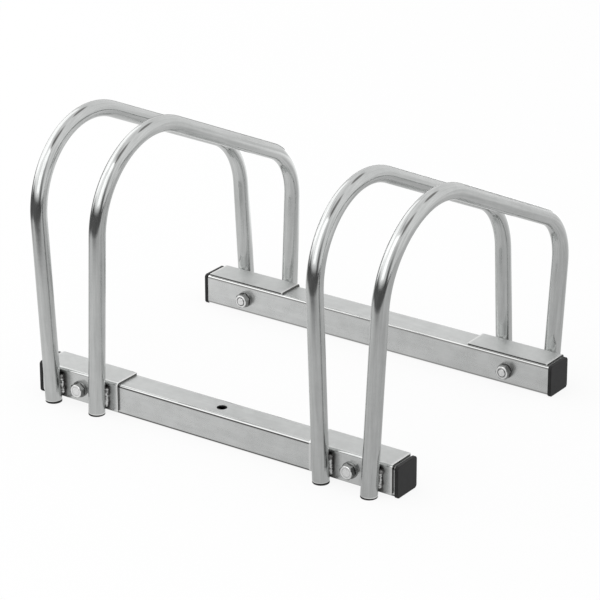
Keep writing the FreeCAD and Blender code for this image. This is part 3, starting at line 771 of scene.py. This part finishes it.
def nut():
    return closed_round([
        plain(NUT_BORE, NUT_EDGE), plain(NUT_BORE + NUT_EDGE, 0.0), plain(TOP, 0.0), hexed(0.0, -1),
        hexed(NUT, 1), plain(TOP, NUT), plain(NUT_BORE + NUT_EDGE, NUT), plain(NUT_BORE, NUT - NUT_EDGE)])


def washer():
    inner = WASHER_BORE + WASHER_EDGE
    outer = WASHER_RIM - WASHER_EDGE
    return closed_round([
        plain(WASHER_BORE, WASHER_EDGE), plain(inner, 0.0), plain(outer, 0.0),
        plain(WASHER_RIM, WASHER_EDGE), plain(WASHER_RIM, WASHER - WASHER_EDGE),
        plain(outer, WASHER), plain(inner, WASHER), plain(WASHER_BORE, WASHER - WASHER_EDGE)])


# %% [markdown]
# Each piece is modelled standing on its seat, and is then laid along Y: heads outside the brackets,
# nuts between the rails. Nobody lines up hexagons with a spanner, so each one stops at its own angle.

# %% Seat the fasteners
SEATS = [
    # kind, maker, seat's distance from the middle of the stand, 1 where it reaches outwards
    ("bolt", bolt, BRACKET_Y + WASHER, 1),
    ("bolt_washer", washer, BRACKET_Y, 1),
    ("nut_washer", washer, RAIL_Y - RAIL_HALF, -1),
    ("nut", nut, RAIL_Y - RAIL_HALF - WASHER, -1),
]
STOPPED_AT = {("front", "left"): 22, ("front", "right"): -11, ("rear", "left"): 18, ("rear", "right"): 6}

for end, way in ENDS.items():
    for hand, x_way in HANDS.items():
        for kind, make, seat, out in SEATS:
            bm = make()
            spot = (Matrix.Translation((x_way * PAIR_X, way * seat, RAIL_Z))
                    @ Matrix.Rotation(-way * out * math.pi / 2, 4, "X")
                    @ Matrix.Rotation(math.radians(STOPPED_AT[end, hand]), 4, "Z"))
            bmesh.ops.transform(bm, matrix=spot, verts=bm.verts)
            name = "%s_%s_%s" % (kind, end, hand)
            close_piece(bm, "made_" + name, name, ZINC_FASTENER, sharp=25.0)
print("fasteners:", 4 * len(SEATS))

# %% [markdown]
# ## Foot plugs
# A foot plug is turned round the leg's own middle line, so it leans as the leg does, but its underside
# is level with the floor. We turn it too long, lean it, cut it at the floor with a plane, and close the
# cut.

# %% Foot plugs
PLUG_STEM = BORE - 0.1
PLUG_TIP = PLUG_STEM - 0.5
PLUG_TOP = FOOT + 12.0
PLUG_BORE = 4.0
LIP = 0.3                                # width of its broken edges


def foot_plug(x, y, lean):
    bm = closed_ends([
        plain(PLUG_BORE, -FOOT), plain(TUBE, -FOOT), plain(TUBE, FOOT - LIP), plain(TUBE - LIP, FOOT),
        plain(PLUG_STEM, FOOT), plain(PLUG_TIP, PLUG_TOP - LIP), plain(PLUG_TIP - LIP, PLUG_TOP),
        plain(PLUG_BORE + LIP, PLUG_TOP), plain(PLUG_BORE, PLUG_TOP - LIP), plain(PLUG_BORE, FOOT)])
    spot = Matrix.Translation((x, y, 0)) @ Matrix.Rotation(math.radians(lean), 4, "Y")
    bmesh.ops.transform(bm, matrix=spot, verts=bm.verts)
    cut = bmesh.ops.bisect_plane(bm, geom=bm.verts[:] + bm.edges[:] + bm.faces[:], plane_co=(0, 0, 0),
                                 plane_no=(0, 0, 1), clear_inner=True)["geom_cut"]
    rim = [part for part in cut if isinstance(part, bmesh.types.BMEdge)]
    bmesh.ops.contextual_create(bm, geom=rim)
    bmesh.ops.bevel(bm, geom=rim, offset=LIP, offset_type="OFFSET", segments=2, profile=0.5,
                    affect="EDGES", clamp_overlap=True, material=-1)
    return bm


for hand, rank, x, lean in leg_places():
    for end, way in ENDS.items():
        name = "foot_plug_%s_%s_%s" % (end, hand, rank)
        close_piece(foot_plug(x, way * LEG_Y, lean), "turned_" + name, name, BLACK_PLUG)
print("foot plugs:", len(ENDS) * len(list(leg_places())))

# %% [markdown]
# ## Weld beads
# A welder runs up each side of a leg. The metal freezes in overlapping drops, so a bead is a rod that
# swells and narrows, wanders a little, and ends in a round blob where the arc was held. We pull a ring
# up beside the leg in steps of under half a millimetre, and give each point of it its ripple. The four
# beads of a bracket are one piece.

# %% Weld beads
BEAD = 2.4                               # radius
BEAD_OUT = 1.2                           # bead's middle in front of the bracket
BEAD_BESIDE = 2 * math.sqrt(TUBE * BEAD_OUT)
BEAD_FOOT = 6.8                          # height of its lower end
BEAD_LENGTH = 19.5
BEAD_STEPS = 50
BEAD_POINTS = 20
DROP = 1.9                               # length of one frozen drop


def shape_ring(bm, verts, height, seed, crown):
    """Set the points of a bead's ring, and say how far aside the ring has to go.

    `dome` rounds the bead's two ends, `ripple` is the back of one frozen drop, `blob` the swelling where
    the arc was held, `sway` the welder's hand, and `lump` is left to chance. `crest` is about 1 along
    the crown, which gets a painted highlight, and 0 in the corners beside it, which get painted shade.
    """
    crest = bm.verts.layers.float["crest"]
    from_end = min(1.0, (min(height, BEAD_LENGTH - height) + 0.08) / (BEAD * 0.8))
    dome = math.sqrt(from_end * (2 - from_end))
    drift = noise.noise(Vector((seed, 0, height / 5))) * 0.6
    drop = 2 * ((height / DROP + drift) % 1.0) - 1
    ripple = math.sqrt(1 - drop * drop)
    blob = 0.22 * math.exp(-((BEAD_LENGTH - height - 2.2) / 1.7) ** 2)
    sway = 1.1 * dome * noise.noise(Vector((seed + 9, 3, height / 3.2)))
    for vert in verts:
        angle = math.atan2(vert.co.y, vert.co.x)
        spot = Vector((math.cos(angle), math.sin(angle), height / 1.6)) * 0.9
        lump = noise.noise(spot + Vector((seed, 7, 0)))
        radius = BEAD * dome * (0.88 + ripple * 0.14 + lump * 0.22 + blob)
        facing = max(0.0, math.cos(angle - crown + sway)) ** 3
        # crest: 1 where the highlight is painted, 0 where the shade is painted.
        vert[crest] = facing * dome * (0.85 + (ripple - 0.6) * 0.4 - blob * 2.2) + lump * 0.6
        vert.co = (radius * math.cos(angle), radius * math.sin(angle), height)
    return sway


def bead(x, y, lean, seed, crown):
    """One bead, pulled up beside a leg. Its crown faces away from both leg and bracket."""
    bm = bmesh.new()
    bm.verts.layers.float.new("crest")
    verts = bmesh.ops.create_circle(bm, segments=BEAD_POINTS, radius=1.0)["verts"]
    first = edges = ring_edges(verts)
    sways = []
    for step in range(BEAD_STEPS + 1):
        if step:
            verts, edges = pull_ring(bm, edges)
        sways.append((verts, shape_ring(bm, verts, BEAD_LENGTH * step / BEAD_STEPS, seed, crown)))
    for verts, sway in sways:
        bmesh.ops.translate(bm, verts=verts, vec=(sway, 0, 0))
    for end in (first, edges):
        bmesh.ops.contextual_create(bm, geom=end)
    foot = Vector((x + BEAD_FOOT * math.tan(math.radians(lean)), y, BEAD_FOOT))
    spot = Matrix.Translation(foot) @ Matrix.Rotation(math.radians(lean), 4, "Y")
    bmesh.ops.transform(bm, matrix=spot, verts=bm.verts)
    return bm


for end, way in ENDS.items():
    for hand in HANDS:
        bm = bmesh.new()
        bm.verts.layers.float.new("crest")
        legs = [(x, lean) for place, _, x, lean in leg_places() if place == hand]
        for x, lean in legs:
            for beside in (-1, 1):
                centre = x + beside * BEAD_BESIDE
                crown = math.atan2(way, beside)
                one = bead(centre, way * (BRACKET_Y + BEAD_OUT), lean, centre * way, crown)
                spare = bpy.data.meshes.new("bead")
                one.to_mesh(spare)
                one.free()
                bm.from_mesh(spare)
                bpy.data.meshes.remove(spare)
        name = "weld_beads_%s_%s" % (end, hand)
        close_piece(bm, "rippled_" + name, name, WELD_METAL, sharp=75.0)
print("weld beads:", 2 * len(ENDS) * len(list(leg_places())))

# %% [markdown]
# ## The studio
# Bright zinc shows what is round it more than its own colour, so the studio is part of the finish. A
# bent tube mirrors every direction somewhere, and so it tells what stood where. In the picture the
# stand lies on a pale table with a pale backdrop behind it. A soft lamp hangs in front, a wider one to
# the left, and a bright wall between them: together they draw the white lines on bends and rounded
# edges. The room in front of the table is dark at eye level, and darker still on the camera's side,
# which draws the dark lines beside the white ones. The camera itself sees plain white, with the stand's
# faint shadow on the floor.
#
# The table is a sheet that glows where it is mirrored. It is paler to the left and to the back, palest
# where the two meet, and nearly black past its front and left edges.

# %% Floor
FLOOR_HALF = 30.0                        # metres
FLOOR_SHADE = 0.9                        # where the lamps light it
MIRROR_SHARE = 0.95                      # how much of a mirrored floor is its own glow
WHITE_SHARE = 0.88                       # how much of a seen floor is plain white, without shadow
bm = bmesh.new()
bmesh.ops.create_grid(bm, x_segments=1, y_segments=1, size=FLOOR_HALF)
floor_mesh = bpy.data.meshes.new("floor")
bm.to_mesh(floor_mesh)
bm.free()
floor = bpy.data.objects.new("floor", floor_mesh)
bpy.context.scene.collection.objects.link(floor)

f = finish("table")
seen = f.node("ShaderNodeLightPath", output="Is Camera Ray")
mirrored = f.node("ShaderNodeLightPath", output="Is Glossy Ray")
passed = f.node("ShaderNodeLightPath", output="Is Transmission Ray")
here = f.node("ShaderNodeTexCoord", output="Object")
ahead = -f.axis(here, "Y")
behind = f.axis(here, "Y")
left = -f.axis(here, "X")
pale = 0.60 + left.within(-0.25, 0.35) * 0.2 + behind.within(0.3, 0.7) * 0.22
palest = behind.within(0.25, 0.5) * left.within(-0.35, 0.1) * 0.75
past_edge = ahead.within(0.46, 0.72).most(left.within(0.5, 0.78))
table = (pale + palest) * (1.0 - past_edge * 0.9)
sheet = f.node("ShaderNodeBsdfDiffuse", None, {"Color": (FLOOR_SHADE, FLOOR_SHADE, FLOOR_SHADE, 1)})
reflected = f.blend(mirrored * MIRROR_SHARE, sheet, f.light(table))
shown = f.blend(seen.most(passed) * WHITE_SHARE, reflected, f.light(1.0))
floor_mesh.materials.append(f.close(shown))

# %% [markdown]
# The world is one grey with darker and brighter patches. A patch is a product of soft steps over `up`,
# the sine of the height above the horizon, and over `turn`, the angle in radians from straight in
# front, to the right. `gloom` is the dark room, `gap` its darkest side, behind the camera, `boom` a
# dark arm overhead, and `wall` the bright wall to the left.

# %% World
ROOM = 0.94                              # the plain grey
CAMERA_SIDE = 0.82                       # where the room is darkest, in radians
WALL_SIDE = -0.87                        # middle of the bright wall, in radians
world = bpy.data.worlds.new("studio")
bpy.context.scene.world = world
w = Net(world)
look = w.node("ShaderNodeTexCoord", output="Generated")
up = w.axis(look, "Z")
turn = w.node("ShaderNodeMath", {"operation": "ARCTAN2"}, {0: w.axis(look, "X"), 1: -w.axis(look, "Y")})
in_front = turn.within(-1.5, -1.1) * (1.0 - turn.within(0.9, 1.2))
gloom = in_front * (1.0 - up.within(0.04, 0.22)) * 0.86
gap = turn.near(CAMERA_SIDE, 0.42) * (1.0 - up.within(0.05, 1.0)) * 0.88
boom = (1.0 - abs(turn + 0.3).within(0.9, 1.5)) * up.near(0.95, 0.05) * 0.35
wall = turn.near(WALL_SIDE, 0.8) * up.within(0.15, 0.35) * (1.0 - up.within(0.76, 0.9)) * 0.42
shade = ROOM + wall - gloom.most(gap).most(boom)
room = w.node("ShaderNodeBackground", None, {"Color": (1, 1, 1, 1), "Strength": shade})
plain_white = w.node("ShaderNodeBackground", None, {"Color": (1, 1, 1, 1), "Strength": 1.0})
seen = w.node("ShaderNodeLightPath", output="Is Camera Ray")
w.close(w.blend(seen, room, plain_white), "ShaderNodeOutputWorld")

# %% [markdown]
# Two soft lamps add to the world's own light. They are weak, and what matters most is the shape that
# each of them has in the mirror of a tube.

# %% Lamps
LAMPS = [
    # name, place, aimed at, size, watts
    ("front_softbox", (0.0, -1.35, 1.22), (0, 0, 0.2), (1.0, 1.5), 3.7),
    ("left_softbox", (-1.48, 0.05, 0.82), (0, 0, 0.1), (1.8, 1.6), 5.4),
]
for name, place, target, size, watts in LAMPS:
    data = bpy.data.lights.new(name, "AREA")
    data.shape = "RECTANGLE"
    data.size, data.size_y = size
    data.energy = watts
    lamp = bpy.data.objects.new(name, data)
    lamp.location = place
    lamp.rotation_mode = "QUATERNION"
    lamp.rotation_quaternion = (Vector(target) - Vector(place)).to_track_quat("-Z", "Y")
    bpy.context.scene.collection.objects.link(lamp)
print("lamps:", [row[0] for row in LAMPS])

# %% Finish
bpy.context.scene.view_settings.view_transform = "Standard"
